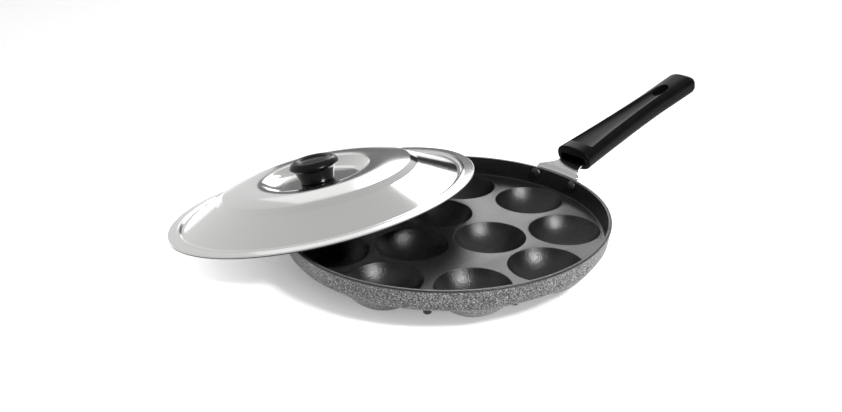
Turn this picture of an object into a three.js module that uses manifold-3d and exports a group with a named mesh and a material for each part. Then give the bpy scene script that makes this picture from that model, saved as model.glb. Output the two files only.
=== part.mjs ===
// Paniyaram pan: a cast dish with twelve round cavities, a riveted handle and a lid that leans on its rim.
// The pan's axis is Z, its feet stand on z = 0 and the handle points along +X.
import * as THREE from "three";
import { mergeVertices } from "three/addons/utils/BufferGeometryUtils.js";
import Module from "manifold-3d";

const wasm = await Module();
wasm.setup();

// Driving dimensions, in millimetres and degrees.
const GAP = 0.3;

// Dish
const RIM_RADIUS = 115;
const RIM_WALL = 2.4;
const WALL_DRAFT = 2.2;
const PLATE_DEPTH = 14;
const PLATE_THICKNESS = 3;
const CORNER_RADIUS = 5;
const CAVITY_RADIUS = 25.4;
const CAVITY_DEPTH = 15.6;
const CAVITY_WALL = 2.4;
const OUTER_RING_RADIUS = 83.8;
const OUTER_RING_COUNT = 9;
const INNER_RING_RADIUS = 31.9;
const INNER_RING_COUNT = 3;
const FOOT_RADIUS = 2.8;
const FOOT_DROP = 0.8;

// Bracket and its rivets
const BRACKET_THICKNESS = 2.2;
const BRACKET_BEARING = 21;
const BRACKET_BELOW_RIM = 10.5;
const BRACKET_ABOVE_RIM = -1.2;
const BEND_RADIUS = 2.4;
const TANG_WIDTH = 22;
const TANG_IN_HANDLE = 40;
const RIVET_BEARING = 9.6;
const RIVET_BELOW_RIM = 5;
const RIVET_RADIUS = 2.4;
const RIVET_HEAD_RADIUS = 4.2;
const RIVET_HEAD_HEIGHT = 1.7;

// Handle
const HANDLE_LENGTH = 144.5;
const HANDLE_RISE = 13.8;
const HANDLE_CLEAR_OF_RIM = 17;
const HANDLE_FRONT_WIDTH = 33;
const HANDLE_WAIST_WIDTH = 22;
const HANDLE_END_WIDTH = 24.5;
const HANDLE_FRONT_HEIGHT = 18;
const HANDLE_END_HEIGHT = 15.5;
const HANDLE_ABOVE_TANG = 2.5;
const SCOOP_START = 10;
const SCOOP_END = 122;
const SCOOP_DEPTH = 2.6;
const HANG_HOLE_AT = 112.5;
const HANG_HOLE_LENGTH = 14;
const HANG_HOLE_WIDTH = 8;
const HANDLE_SCREW_AT = 17;

// Screws and inserts
const SCREW_RADIUS = 2;
const SCREW_HEAD_RADIUS = 3.6;
const SCREW_HEAD_HEIGHT = 2;
const INSERT_RADIUS = 4;
const INSERT_HEIGHT = 4.5;

// Lid
const LID_RADIUS = 117.7;
const LID_SHEET = 0.7;
const LID_EDGE_DROP = 1.3;
const LID_FLANGE_WIDTH = 8.8;
const LID_STEP_DEPTH = 0.4;
const LID_CREASE_RADIUS = 76.5;
const LID_CREASE_HEIGHT = 13.8;
const LID_CREST_RADIUS = 46;
const LID_CREST_HEIGHT = 19.4;
const LID_RECESS_RADIUS = 26;
const LID_RECESS_HEIGHT = 12.4;
const LID_OFFSET = 107;
const LID_BEARING = 111;

// Knob
const KNOB_TOP_RADIUS = 19;
const KNOB_NECK_RADIUS = 13;
const KNOB_BASE_RADIUS = 14;
const KNOB_HEIGHT = 18;
const WASHER_RADIUS = 5.5;
const WASHER_THICKNESS = 0.8;

// Fineness of the round forms
const DISH_STEPS = 72;
const CAVITY_STEPS = 22;
const LID_STEPS = 56;
const SMALL_STEPS = 16;

// Heights that follow from the sizes above.
const RIM_HEIGHT = PLATE_DEPTH + CAVITY_DEPTH + CAVITY_WALL + FOOT_DROP;
const PLATE_HEIGHT = RIM_HEIGHT - PLATE_DEPTH;
const WEB_HEIGHT = PLATE_HEIGHT - PLATE_THICKNESS;

const radians = THREE.MathUtils.degToRad;

// A closed manifold solid from any three.js geometry.
function solid(geometry) {
  const bare = geometry.clone();
  bare.deleteAttribute("normal");
  bare.deleteAttribute("uv");
  const merged = mergeVertices(bare, 1e-4);
  return new wasm.Manifold(new wasm.Mesh({
    numProp: 3,
    vertProperties: merged.attributes.position.array,
    triVerts: new Uint32Array(merged.index.array),
  }));
}

// Back from a manifold solid to a geometry for a mesh.
function geometryOf(body) {
  const mesh = body.getMesh();
  const geometry = new THREE.BufferGeometry();
  geometry.setAttribute("position", new THREE.BufferAttribute(mesh.vertProperties, 3));
  geometry.setIndex(new THREE.BufferAttribute(mesh.triVerts, 1));
  geometry.computeVertexNormals();
  return geometry;
}

// A profile of [radius, height] pairs, bottom to top along its outside, turned about Z.
function revolve(profile, steps) {
  const points = profile.map(([radius, height]) => new THREE.Vector2(radius, height));
  return new THREE.LatheGeometry(points, steps).rotateX(Math.PI / 2);
}

// A plan outline raised from one height to another.
function prism(shape, low, high, curveSteps = 8) {
  const settings = { depth: high - low, bevelEnabled: false, curveSegments: curveSteps };
  return new THREE.ExtrudeGeometry(shape, settings).translate(0, 0, low);
}

// An upright rod between two heights, with its axis at (x, y).
function rod(radius, low, high, x = 0, y = 0, steps = SMALL_STEPS) {
  const profile = [[0, low], [radius, low], [radius, high], [0, high]];
  return revolve(profile, steps).translate(x, y, 0);
}

// Equal rings of points, joined one to the next and closed at both ends.
function loft(rings) {
  const count = rings[0].length;
  const corners = [];
  const faces = [];
  rings.forEach((ring) => ring.forEach((point) => corners.push(point.x, point.y, point.z)));
  for (let ring = 0; ring + 1 < rings.length; ring += 1) {
    for (let side = 0; side < count; side += 1) {
      const next = (side + 1) % count;
      const a = ring * count + side;
      const b = ring * count + next;
      faces.push(a, b, a + count, b, b + count, a + count);
    }
  }
  const last = (rings.length - 1) * count;
  for (let side = 1; side + 1 < count; side += 1) {
    faces.push(0, side + 1, side);
    faces.push(last, last + side, last + side + 1);
  }
  const geometry = new THREE.BufferGeometry();
  geometry.setAttribute("position", new THREE.Float32BufferAttribute(corners, 3));
  geometry.setIndex(faces);
  return geometry;
}

// A rounded section across X: width along Y, height along Z, squarer as the power grows.
function section(x, width, height, power, middle = 0, count = 28) {
  const ring = [];
  for (let side = 0; side < count; side += 1) {
    const turn = (side / count) * Math.PI * 2;
    const across = Math.sign(Math.cos(turn)) * Math.abs(Math.cos(turn)) ** (2 / power);
    const upward = Math.sign(Math.sin(turn)) * Math.abs(Math.sin(turn)) ** (2 / power);
    ring.push(new THREE.Vector3(x, (across * width) / 2, middle + (upward * height) / 2));
  }
  return ring;
}

// Points of an arc, as [radius, height] pairs.
function arc(centreRadius, centreHeight, radius, from, to, count) {
  const points = [];
  for (let step = 0; step <= count; step += 1) {
    const turn = radians(from + ((to - from) * step) / count);
    points.push([centreRadius + radius * Math.cos(turn), centreHeight + radius * Math.sin(turn)]);
  }
  return points;
}

function piece(name, geometry, material) {
  const mesh = new THREE.Mesh(geometry, material);
  mesh.name = name;
  return mesh;
}

function paint(color, roughness, metalness) {
  return new THREE.MeshStandardMaterial({ color, roughness, metalness });
}

const castAluminium = paint(0x2b2b2d, 0.5, 0.4);
const brightSheet = paint(0xc8c8c8, 0.3, 1);
const stainless = paint(0xd4d4d4, 0.12, 1);
const phenolic = paint(0x161616, 0.35, 0);
const brass = paint(0xb08d3c, 0.35, 1);
const zincPlated = paint(0xb4b6b8, 0.4, 1);
const coatedRivet = paint(0x242426, 0.45, 0.4);

// Where the cavities and feet stand in plan. One outer cavity lies on the handle's line.
function ringOf(count, radius, firstBearing) {
  const places = [];
  for (let item = 0; item < count; item += 1) {
    const turn = radians(firstBearing + (item * 360) / count);
    places.push([radius * Math.cos(turn), radius * Math.sin(turn)]);
  }
  return places;
}

const cavityPlaces = [
  ...ringOf(OUTER_RING_COUNT, OUTER_RING_RADIUS, 0),
  ...ringOf(INNER_RING_COUNT, INNER_RING_RADIUS, 180 / INNER_RING_COUNT),
];
const footPlaces = ringOf(OUTER_RING_COUNT, OUTER_RING_RADIUS, 180 / OUTER_RING_COUNT);

// The cavity is a cap of a sphere; its centre is this far above the plate.
const bowlRadius = (CAVITY_RADIUS ** 2 + CAVITY_DEPTH ** 2) / (2 * CAVITY_DEPTH);
const bowlCentre = PLATE_HEIGHT + bowlRadius - CAVITY_DEPTH;

// A cap below the given height, cut from a sphere about the cavity's centre.
function cap(radius, top, x, y) {
  const reach = THREE.MathUtils.radToDeg(Math.asin((top - bowlCentre) / radius));
  const profile = arc(0, bowlCentre, radius, -90, reach, 4);
  profile[0][0] = 0;
  profile.push([0, top]);
  return solid(revolve(profile, CAVITY_STEPS).translate(x, y, 0));
}

// Outer wall radius at a height: the wall leans out towards the rim.
function outerWall(height) {
  return RIM_RADIUS - (WALL_DRAFT * (RIM_HEIGHT - height)) / PLATE_DEPTH;
}

function dishBody() {
  const cornerCentre = outerWall(WEB_HEIGHT) - CORNER_RADIUS;
  const corner = arc(cornerCentre, WEB_HEIGHT + CORNER_RADIUS, CORNER_RADIUS, -90, -8, 4);
  const innerFoot = outerWall(PLATE_HEIGHT) - RIM_WALL;
  let body = solid(revolve([
    [0, WEB_HEIGHT],
    ...corner,
    [RIM_RADIUS, RIM_HEIGHT],
    [RIM_RADIUS - RIM_WALL, RIM_HEIGHT],
    [innerFoot, PLATE_HEIGHT + 1.2],
    [innerFoot - 1.2, PLATE_HEIGHT],
    [0, PLATE_HEIGHT],
  ], DISH_STEPS));
  for (const [x, y] of cavityPlaces) {
    body = body.add(cap(bowlRadius + CAVITY_WALL, PLATE_HEIGHT - 0.6, x, y));
  }
  for (const [x, y] of footPlaces) {
    body = body.add(solid(rod(FOOT_RADIUS, 0, WEB_HEIGHT + 1, x, y, 16)));
  }
  for (const [x, y] of cavityPlaces) {
    body = body.subtract(cap(bowlRadius, PLATE_HEIGHT + 1, x, y));
  }
  return body;
}

// Rivet axes stand square to the leaning wall, either side of the handle's line.
const wallLean = Math.atan(WALL_DRAFT / PLATE_DEPTH);
const rivetHeight = RIM_HEIGHT - RIVET_BELOW_RIM;

// A form made upright about Z, laid so that Z points out through the wall from its outer face.
function atRivet(geometry, bearing) {
  return geometry
    .rotateY(Math.PI / 2 + wallLean)
    .translate(outerWall(rivetHeight), 0, rivetHeight)
    .rotateZ(radians(bearing));
}

function rivet(bearing) {
  const headSeat = -RIM_WALL - GAP;
  const tailSeat = BRACKET_THICKNESS + 2 * GAP;
  const head = RIVET_HEAD_RADIUS;
  return atRivet(revolve([
    [0, headSeat - RIVET_HEAD_HEIGHT],
    [head * 0.45, headSeat - RIVET_HEAD_HEIGHT * 0.92],
    [head * 0.82, headSeat - RIVET_HEAD_HEIGHT * 0.6],
    [head, headSeat - 0.3],
    [head, headSeat],
    [RIVET_RADIUS, headSeat],
    [RIVET_RADIUS, tailSeat],
    [head * 0.95, tailSeat],
    [head * 0.8, tailSeat + RIVET_HEAD_HEIGHT * 0.6],
    [head * 0.4, tailSeat + RIVET_HEAD_HEIGHT * 0.9],
    [0, tailSeat + RIVET_HEAD_HEIGHT * 0.95],
  ], SMALL_STEPS), bearing);
}

function rivetHole(bearing) {
  return solid(atRivet(rod(RIVET_RADIUS + GAP, -10, 10), bearing));
}

// The bracket's bend: the plate follows the wall past the rim, then turns out into the tang.
const handleRise = radians(HANDLE_RISE);
const handleFront = RIM_RADIUS + HANDLE_CLEAR_OF_RIM;
const plateTop = RIM_HEIGHT + BRACKET_ABOVE_RIM;
const bendRadial = outerWall(plateTop) + GAP + BRACKET_THICKNESS + BEND_RADIUS * Math.cos(wallLean);
const bendHeight = plateTop - BEND_RADIUS * Math.sin(wallLean);

// Height of the tang's middle surface at a distance from the pan's axis.
function tangHeight(radial) {
  const bend = BEND_RADIUS + BRACKET_THICKNESS / 2;
  return bendHeight + bend / Math.cos(handleRise) + (radial - bendRadial) * Math.tan(handleRise);
}

// The handle's frame: its origin is the middle of the front face, +X runs along the handle.
const handlePlace = new THREE.Matrix4()
  .makeTranslation(handleFront, 0, tangHeight(handleFront) + HANDLE_ABOVE_TANG / Math.cos(handleRise))
  .multiply(new THREE.Matrix4().makeRotationY(-handleRise));

// A bent strip turned about the pan's axis, then cut to the bracket's outline in plan.
function bracketBody() {
  const half = BRACKET_THICKNESS / 2 / Math.cos(handleRise);
  const tangEnd = handleFront + TANG_IN_HANDLE;
  const plateLow = RIM_HEIGHT - BRACKET_BELOW_RIM;
  const from = 180 - THREE.MathUtils.radToDeg(wallLean);
  const to = 90 + HANDLE_RISE;
  const inside = arc(bendRadial, bendHeight, BEND_RADIUS, from, to, 4);
  const outside = arc(bendRadial, bendHeight, BEND_RADIUS + BRACKET_THICKNESS, to, from, 5);
  const strip = solid(revolve([
    [outerWall(plateLow) + GAP, plateLow],
    [outerWall(plateLow) + GAP + BRACKET_THICKNESS, plateLow],
    ...inside,
    [tangEnd, tangHeight(tangEnd) - half],
    [tangEnd, tangHeight(tangEnd) + half],
    ...outside,
    [outerWall(plateLow) + GAP, plateLow],
  ], DISH_STEPS));
  const wide = RIM_RADIUS * Math.sin(radians(BRACKET_BEARING / 2));
  const narrow = TANG_WIDTH / 2;
  const outline = new THREE.Shape();
  outline.moveTo(RIM_RADIUS * 0.8, -wide);
  outline.lineTo(RIM_RADIUS, -wide);
  outline.bezierCurveTo(RIM_RADIUS + 6, -wide, handleFront - 10, -narrow, handleFront - 2, -narrow);
  outline.lineTo(tangEnd - 4, -narrow);
  outline.quadraticCurveTo(tangEnd - 1, -narrow, tangEnd - 1, -narrow + 4);
  outline.lineTo(tangEnd - 1, narrow - 4);
  outline.quadraticCurveTo(tangEnd - 1, narrow, tangEnd - 4, narrow);
  outline.lineTo(handleFront - 2, narrow);
  outline.bezierCurveTo(handleFront - 10, narrow, RIM_RADIUS + 6, wide, RIM_RADIUS, wide);
  outline.lineTo(RIM_RADIUS * 0.8, wide);
  const cutter = solid(prism(outline, 0, tangHeight(tangEnd) + 20));
  const hole = rod(SCREW_RADIUS + GAP, -30, 30, HANDLE_SCREW_AT).applyMatrix4(handlePlace);
  return strip.intersect(cutter).subtract(solid(hole));
}

// Width and height of the handle along its length.
function handleWidth(x) {
  const waist = HANDLE_LENGTH * 0.68;
  const flare = HANDLE_FRONT_WIDTH - HANDLE_WAIST_WIDTH;
  if (x < waist) {
    return HANDLE_WAIST_WIDTH + flare * (1 - x / waist) ** 1.6;
  }
  return HANDLE_WAIST_WIDTH + (HANDLE_END_WIDTH - HANDLE_WAIST_WIDTH) * ((x - waist) / (HANDLE_LENGTH - waist));
}

function handleHeight(x) {
  return HANDLE_FRONT_HEIGHT + ((HANDLE_END_HEIGHT - HANDLE_FRONT_HEIGHT) * x) / HANDLE_LENGTH;
}

function handleBody() {
  const rings = [section(0, HANDLE_FRONT_WIDTH - 3, HANDLE_FRONT_HEIGHT - 3, 3.2)];
  for (const share of [0.008, 0.03, 0.12, 0.22, 0.34, 0.46, 0.58, 0.7, 0.82, 0.9]) {
    const x = share * HANDLE_LENGTH;
    rings.push(section(x, handleWidth(x), handleHeight(x), 3.2));
  }
  const nose = HANDLE_LENGTH * 0.065;
  for (const turn of [0, 25, 48, 68, 84]) {
    const x = HANDLE_LENGTH - nose + nose * Math.sin(radians(turn));
    const pull = nose * (1 - Math.cos(radians(turn)));
    rings.push(section(x, HANDLE_END_WIDTH - 1.6 * pull, HANDLE_END_HEIGHT - pull, 3.2));
  }
  let body = solid(loft(rings));
  const scoop = [];
  for (const share of [0, 0.01, 0.25, 0.5, 0.75, 0.9, 0.97, 1]) {
    const x = SCOOP_START + share * (SCOOP_END - SCOOP_START);
    const ends = share === 0 || share === 1 ? 0.55 : 1;
    const width = (0.8 * handleWidth(x) * (1 - share) + 1.3 * HANG_HOLE_WIDTH * share) * ends;
    const depth = SCOOP_DEPTH * (1 - 0.3 * share) * ends;
    scoop.push(section(x, width, 2 * depth, 2.6, handleHeight(x) / 2, 24));
  }
  body = body.subtract(solid(loft(scoop)));
  const slot = new THREE.Shape();
  const reach = (HANG_HOLE_LENGTH - HANG_HOLE_WIDTH) / 2;
  slot.absarc(HANG_HOLE_AT + reach, 0, HANG_HOLE_WIDTH / 2, -Math.PI / 2, Math.PI / 2);
  slot.absarc(HANG_HOLE_AT - reach, 0, HANG_HOLE_WIDTH / 2, Math.PI / 2, (3 * Math.PI) / 2);
  body = body.subtract(solid(prism(slot, -HANDLE_FRONT_HEIGHT, HANDLE_FRONT_HEIGHT, 6)));
  const tangMiddle = -HANDLE_ABOVE_TANG;
  const mouthHeight = BRACKET_THICKNESS + 2 * GAP + 0.6;
  const mouthWidth = TANG_WIDTH + 2 * GAP;
  const socket = new THREE.BoxGeometry(TANG_IN_HANDLE + 10, mouthWidth, mouthHeight);
  socket.translate(TANG_IN_HANDLE / 2 - 4, 0, tangMiddle);
  body = body.subtract(solid(socket));
  body = body.subtract(solid(rod(SCREW_RADIUS + GAP, -20, tangMiddle, HANDLE_SCREW_AT)));
  const sink = rod(SCREW_HEAD_RADIUS + GAP, -20, handleScrewSeat, HANDLE_SCREW_AT);
  body = body.subtract(solid(sink));
  const pocketTop = insertLow + INSERT_HEIGHT + GAP;
  body = body.subtract(solid(rod(INSERT_RADIUS + GAP, tangMiddle, pocketTop, HANDLE_SCREW_AT)));
  return body;
}

// Handle screw and insert, in the handle's frame.
const handleScrewSeat = -handleHeight(HANDLE_SCREW_AT) / 2 + SCREW_HEAD_HEIGHT + 0.6;
const insertLow = -HANDLE_ABOVE_TANG + BRACKET_THICKNESS / 2 + 2 * GAP;

// A pan-head screw pointing up: its head hangs below the seat.
function screw(seat, tip, x = 0) {
  const low = seat - GAP - SCREW_HEAD_HEIGHT;
  const body = solid(revolve([
    [0, low],
    [SCREW_HEAD_RADIUS * 0.75, low],
    [SCREW_HEAD_RADIUS, low + SCREW_HEAD_HEIGHT * 0.5],
    [SCREW_HEAD_RADIUS, seat - GAP],
    [SCREW_RADIUS, seat - GAP],
    [SCREW_RADIUS, tip - 0.6],
    [SCREW_RADIUS - 0.6, tip],
    [0, tip],
  ], SMALL_STEPS));
  const blade = new THREE.BoxGeometry(SCREW_HEAD_RADIUS * 1.1, 0.9, SCREW_HEAD_HEIGHT);
  const cross = solid(blade.clone().translate(0, 0, low)).add(solid(blade.rotateZ(Math.PI / 2).translate(0, 0, low)));
  return geometryOf(body.subtract(cross)).translate(x, 0, 0);
}

// A threaded insert: a short tube, shown without its thread.
function insert(low, high, x = 0) {
  const bore = SCREW_RADIUS + GAP;
  const profile = [[bore, low], [INSERT_RADIUS, low], [INSERT_RADIUS, high], [bore, high], [bore, low]];
  return revolve(profile, SMALL_STEPS).translate(x, 0, 0);
}

// Lid profile, outside to middle, along its upper face. Height 0 is the flange.
const stepRadius = LID_RADIUS - LID_FLANGE_WIDTH;
const grooveRadius = stepRadius - 2.6;
function lidFace() {
  const crest = [];
  const rise = LID_CREST_HEIGHT - LID_CREASE_HEIGHT;
  const run = LID_CREASE_RADIUS - LID_CREST_RADIUS;
  for (const share of [0.1, 0.35, 0.65, 1]) {
    crest.push([LID_CREASE_RADIUS - run * share, LID_CREASE_HEIGHT + rise * (1 - (1 - share) ** 1.5)]);
  }
  const drop = LID_CREST_HEIGHT - LID_RECESS_HEIGHT;
  const dip = LID_CREST_RADIUS - LID_RECESS_RADIUS;
  return [
    [LID_RADIUS, -LID_EDGE_DROP],
    [LID_RADIUS, -0.5],
    [LID_RADIUS - 0.6, 0],
    [stepRadius, 0.4],
    [grooveRadius + 0.6, -LID_STEP_DEPTH],
    [grooveRadius - 1.4, -LID_STEP_DEPTH],
    [LID_CREASE_RADIUS, LID_CREASE_HEIGHT],
    ...crest,
    [LID_RECESS_RADIUS + dip * 0.75, LID_CREST_HEIGHT - drop * 0.12],
    [LID_RECESS_RADIUS + dip * 0.4, LID_CREST_HEIGHT - drop * 0.55],
    [LID_RECESS_RADIUS + dip * 0.12, LID_CREST_HEIGHT - drop * 0.93],
    [LID_RECESS_RADIUS, LID_RECESS_HEIGHT],
  ];
}

// The lower face: each point of the upper one moved in by the sheet, square to the profile.
function lidUnderside() {
  const face = lidFace().map(([radius, height]) => new THREE.Vector2(radius, height));
  return face.map((point, index) => {
    const before = face[Math.max(index - 1, 0)];
    const after = face[Math.min(index + 1, face.length - 1)];
    const along = after.clone().sub(before).normalize();
    if (index === 0) {
      return [point.x - LID_SHEET, point.y];
    }
    if (index === face.length - 1) {
      return [point.x, point.y - LID_SHEET];
    }
    const first = point.clone().sub(before).normalize();
    const stretch = LID_SHEET / Math.max(0.5, first.dot(along));
    return [point.x - along.y * stretch, point.y + along.x * stretch];
  });
}

const shaftHole = SCREW_RADIUS + GAP;
const lidUnder = lidUnderside();
const lidProfile = [
  [shaftHole, LID_RECESS_HEIGHT - LID_SHEET],
  ...lidUnder.slice().reverse(),
  ...lidFace(),
  [shaftHole, LID_RECESS_HEIGHT],
  [shaftHole, LID_RECESS_HEIGHT - LID_SHEET],
];

// Washer and screw hang under the lid's recess.
const washerTop = LID_RECESS_HEIGHT - LID_SHEET - GAP;
const washerLow = washerTop - WASHER_THICKNESS;
const knobScrewLow = washerLow - GAP - SCREW_HEAD_HEIGHT;

// The lid leans with its edge on the floor. This is its place for a tilt away from level.
function lidPlace(tilt) {
  const height = LID_RADIUS * Math.sin(tilt) + LID_EDGE_DROP * Math.cos(tilt);
  const bearing = radians(LID_BEARING);
  const axis = new THREE.Vector3(-Math.sin(bearing), Math.cos(bearing), 0);
  const place = new THREE.Matrix4().makeRotationAxis(axis, tilt);
  place.setPosition(LID_OFFSET * Math.cos(bearing), LID_OFFSET * Math.sin(bearing), height);
  return place;
}

// Points over the lid's underside, with the washer and screw that hang from it.
function underPoints() {
  const rows = [[WASHER_RADIUS, washerLow], [SCREW_HEAD_RADIUS, knobScrewLow]];
  for (let row = 0; row + 1 < lidUnder.length; row += 1) {
    for (let share = 0; share < 1; share += 0.2) {
      const [r0, h0] = lidUnder[row];
      const [r1, h1] = lidUnder[row + 1];
      rows.push([r0 + (r1 - r0) * share, h0 + (h1 - h0) * share]);
    }
  }
  const points = [];
  for (const [radius, height] of rows) {
    for (let turn = 0; turn < 360; turn += 1) {
      const angle = radians(turn);
      points.push(new THREE.Vector3(radius * Math.cos(angle), radius * Math.sin(angle), height));
    }
  }
  return points;
}

// Least height of the lid over the rim.
function rimClearance(tilt, points) {
  const place = lidPlace(tilt);
  const spot = new THREE.Vector3();
  let least = Infinity;
  for (const point of points) {
    spot.copy(point).applyMatrix4(place);
    const radial = Math.hypot(spot.x, spot.y);
    if (radial > RIM_RADIUS - RIM_WALL - 0.6 && radial < RIM_RADIUS + 0.6) {
      least = Math.min(least, spot.z - RIM_HEIGHT);
    }
  }
  return least;
}

// The tilt at which the lid just clears the rim.
function lidTilt() {
  const points = underPoints();
  let low = 0;
  let high = radians(40);
  for (let step = 0; step < 24; step += 1) {
    const middle = (low + high) / 2;
    if (rimClearance(middle, points) < GAP) {
      low = middle;
    } else {
      high = middle;
    }
  }
  return high;
}

// Knob, standing on the recess floor.
const knobLow = LID_RECESS_HEIGHT + GAP;
function knobBody() {
  const top = KNOB_TOP_RADIUS;
  const neck = KNOB_NECK_RADIUS;
  const height = KNOB_HEIGHT;
  const body = solid(revolve([
    [0, 0],
    [KNOB_BASE_RADIUS - 0.5, 0],
    [KNOB_BASE_RADIUS, 0.6],
    [KNOB_BASE_RADIUS - 0.3, height * 0.12],
    [neck, height * 0.3],
    [neck + 0.4, height * 0.48],
    [neck + (top - neck) * 0.45, height * 0.6],
    [top - 1, height * 0.67],
    [top, height * 0.75],
    [top - 0.4, height * 0.85],
    [top - 2, height * 0.95],
    [top * 0.78, height],
    [top * 0.62, height * 0.96],
    [top * 0.52, height * 0.89],
    [0, height * 0.86],
  ], 32));
  const pocket = rod(INSERT_RADIUS + GAP, -1, INSERT_HEIGHT + 2 * GAP);
  const tip = rod(SCREW_RADIUS + GAP, 0, INSERT_HEIGHT + 4);
  return geometryOf(body.subtract(solid(pocket)).subtract(solid(tip))).translate(0, 0, knobLow);
}

const pan = new THREE.Group();
pan.name = "paniyaram_pan";

const rivetBearings = { left_rivet: RIVET_BEARING, right_rivet: -RIVET_BEARING };
let dish = dishBody();
let bracket = bracketBody();
for (const [name, bearing] of Object.entries(rivetBearings)) {
  const hole = rivetHole(bearing);
  dish = dish.subtract(hole);
  bracket = bracket.subtract(hole);
  pan.add(piece(name, rivet(bearing), coatedRivet));
}
pan.add(piece("pan_body", geometryOf(dish), castAluminium));
pan.add(piece("handle_bracket", geometryOf(bracket), brightSheet));

const handle = new THREE.Group();
handle.applyMatrix4(handlePlace);
handle.add(piece("handle", geometryOf(handleBody()), phenolic));
handle.add(piece("handle_screw", screw(handleScrewSeat, insertLow + INSERT_HEIGHT - 0.5, HANDLE_SCREW_AT), zincPlated));
handle.add(piece("handle_insert", insert(insertLow, insertLow + INSERT_HEIGHT, HANDLE_SCREW_AT), brass));
pan.add(handle);

const lid = new THREE.Group();
lid.applyMatrix4(lidPlace(lidTilt()));
lid.add(piece("lid", revolve(lidProfile, LID_STEPS), stainless));
lid.add(piece("knob", knobBody(), phenolic));
lid.add(piece("knob_insert", insert(knobLow + GAP, knobLow + GAP + INSERT_HEIGHT), brass));
lid.add(piece("knob_screw", screw(washerLow, knobLow + INSERT_HEIGHT + 2), zincPlated));
const washerProfile = [
  [shaftHole, washerLow],
  [WASHER_RADIUS, washerLow],
  [WASHER_RADIUS, washerTop],
  [shaftHole, washerTop],
  [shaftHole, washerLow],
];
lid.add(piece("knob_washer", revolve(washerProfile, SMALL_STEPS), zincPlated));
pan.add(lid);

// The origin is the middle of the footprint, on the surface that the pan stands on.
pan.updateMatrixWorld(true);
const reach = new THREE.Box3().setFromObject(pan, true);
pan.position.set(-(reach.min.x + reach.max.x) / 2, -(reach.min.y + reach.max.y) / 2, -reach.min.z);
pan.updateMatrixWorld(true);

export default pan;
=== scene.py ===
"""Looks of the paniyaram pan: cast dish, riveted handle and leaning lid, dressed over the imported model."""
import math

import bmesh
import bpy
import numpy as np
from mathutils import Matrix, Vector
from mathutils.geometry import tessellate_polygon


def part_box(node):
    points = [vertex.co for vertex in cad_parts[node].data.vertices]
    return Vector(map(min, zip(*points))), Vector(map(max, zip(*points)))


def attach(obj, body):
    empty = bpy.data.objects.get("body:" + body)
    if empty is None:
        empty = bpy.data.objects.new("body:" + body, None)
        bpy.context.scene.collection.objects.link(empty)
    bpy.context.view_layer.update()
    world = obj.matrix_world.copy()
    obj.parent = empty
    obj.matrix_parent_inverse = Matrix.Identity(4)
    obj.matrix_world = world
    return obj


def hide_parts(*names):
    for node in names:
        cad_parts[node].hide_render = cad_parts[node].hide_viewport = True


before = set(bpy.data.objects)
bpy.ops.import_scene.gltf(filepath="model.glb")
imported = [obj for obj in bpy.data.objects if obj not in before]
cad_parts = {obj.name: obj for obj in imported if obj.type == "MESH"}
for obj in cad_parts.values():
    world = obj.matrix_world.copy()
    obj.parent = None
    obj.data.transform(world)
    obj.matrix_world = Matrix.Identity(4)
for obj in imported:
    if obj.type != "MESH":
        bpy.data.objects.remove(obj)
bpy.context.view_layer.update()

MM = 0.001

# Dish, in millimetres and degrees. Heights are above the surface that the pan stands on.
RIM_RADIUS = 115
RIM_WALL = 2.4
RIM_LIP = 1.2
RIM_ROUNDING = 0.7
WALL_DRAFT = 2.2
PLATE_DEPTH = 14
PLATE_THICKNESS = 3
COVE_HEIGHT = 2.2
COVE_ROUNDING = 1.2
CORNER_RADIUS = 5
CORNER_START = -8
CAVITY_RADIUS = 25.4
CAVITY_DEPTH = 15.6
CAVITY_WALL = 2.4
CAVITY_LIP = 0.7
OUTER_RING_RADIUS = 83.8
OUTER_CAVITIES = 9
INNER_RING_RADIUS = 31.9
INNER_CAVITIES = 3
INNER_RING_FIRST = 60
BULGE_BLEND = 2.5
BULGE_REACH = 3
FOOT_RADIUS = 2.8
FOOT_DROP = 0.8
FOOT_FLARE = 0.3
FOOT_ROUNDING = 0.5
FOOT_FIRST = 20

# Bracket and rivets
BRACKET_THICKNESS = 2.2
BRACKET_BEARING = 21
BRACKET_BELOW_RIM = 10.5
BRACKET_ABOVE_RIM = -1.2
BRACKET_EDGE = 0.45
BEND_RADIUS = 2.4
TANG_WIDTH = 22
TANG_IN_HANDLE = 40
TANG_END_ROOM = 1
RIVET_BEARING = 9.6
RIVET_BELOW_RIM = 5
RIVET_RADIUS = 2.4
RIVET_HEAD_RADIUS = 4.2
RIVET_HEAD_HEIGHT = 1.7
GAP = 0.3

# Handle
HANDLE_LENGTH = 144.5
HANDLE_RISE = 13.8
HANDLE_CLEAR_OF_RIM = 17
HANDLE_FRONT_WIDTH = 33
HANDLE_WAIST_WIDTH = 22
HANDLE_WAIST_AT = 0.68
HANDLE_WAIST_CURVE = 1.6
HANDLE_END_WIDTH = 24.5
HANDLE_FRONT_HEIGHT = 18
HANDLE_END_HEIGHT = 15.5
HANDLE_FRONT_EDGE = 1.5
HANDLE_NOSE = 0.045
HANDLE_ABOVE_TANG = 2.5
FRONT_SQUARENESS = 2.6
END_SQUARENESS_GAIN = 0.7
SCOOP_START = 10
SCOOP_END = 117
SCOOP_DEPTH = 2.6
HANG_HOLE_AT = 110.7
HANG_HOLE_LENGTH = 17.6
HANG_HOLE_WIDTH = 8
SOCKET_SQUARENESS = 8
SOCKET_ROOM = 0.6
MOUTH_HEIGHT = 6.6
MOUTH_ROOM = 2.5
MOUTH_DEPTH = 9
MOUTH_BELOW_MIDDLE = 0.8
MOUTH_SQUARENESS = 6
SINK_AT = 17
SINK_RADIUS = 3.9
SINK_DEPTH = 2.6
PAST_HANDLE = 20

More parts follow.
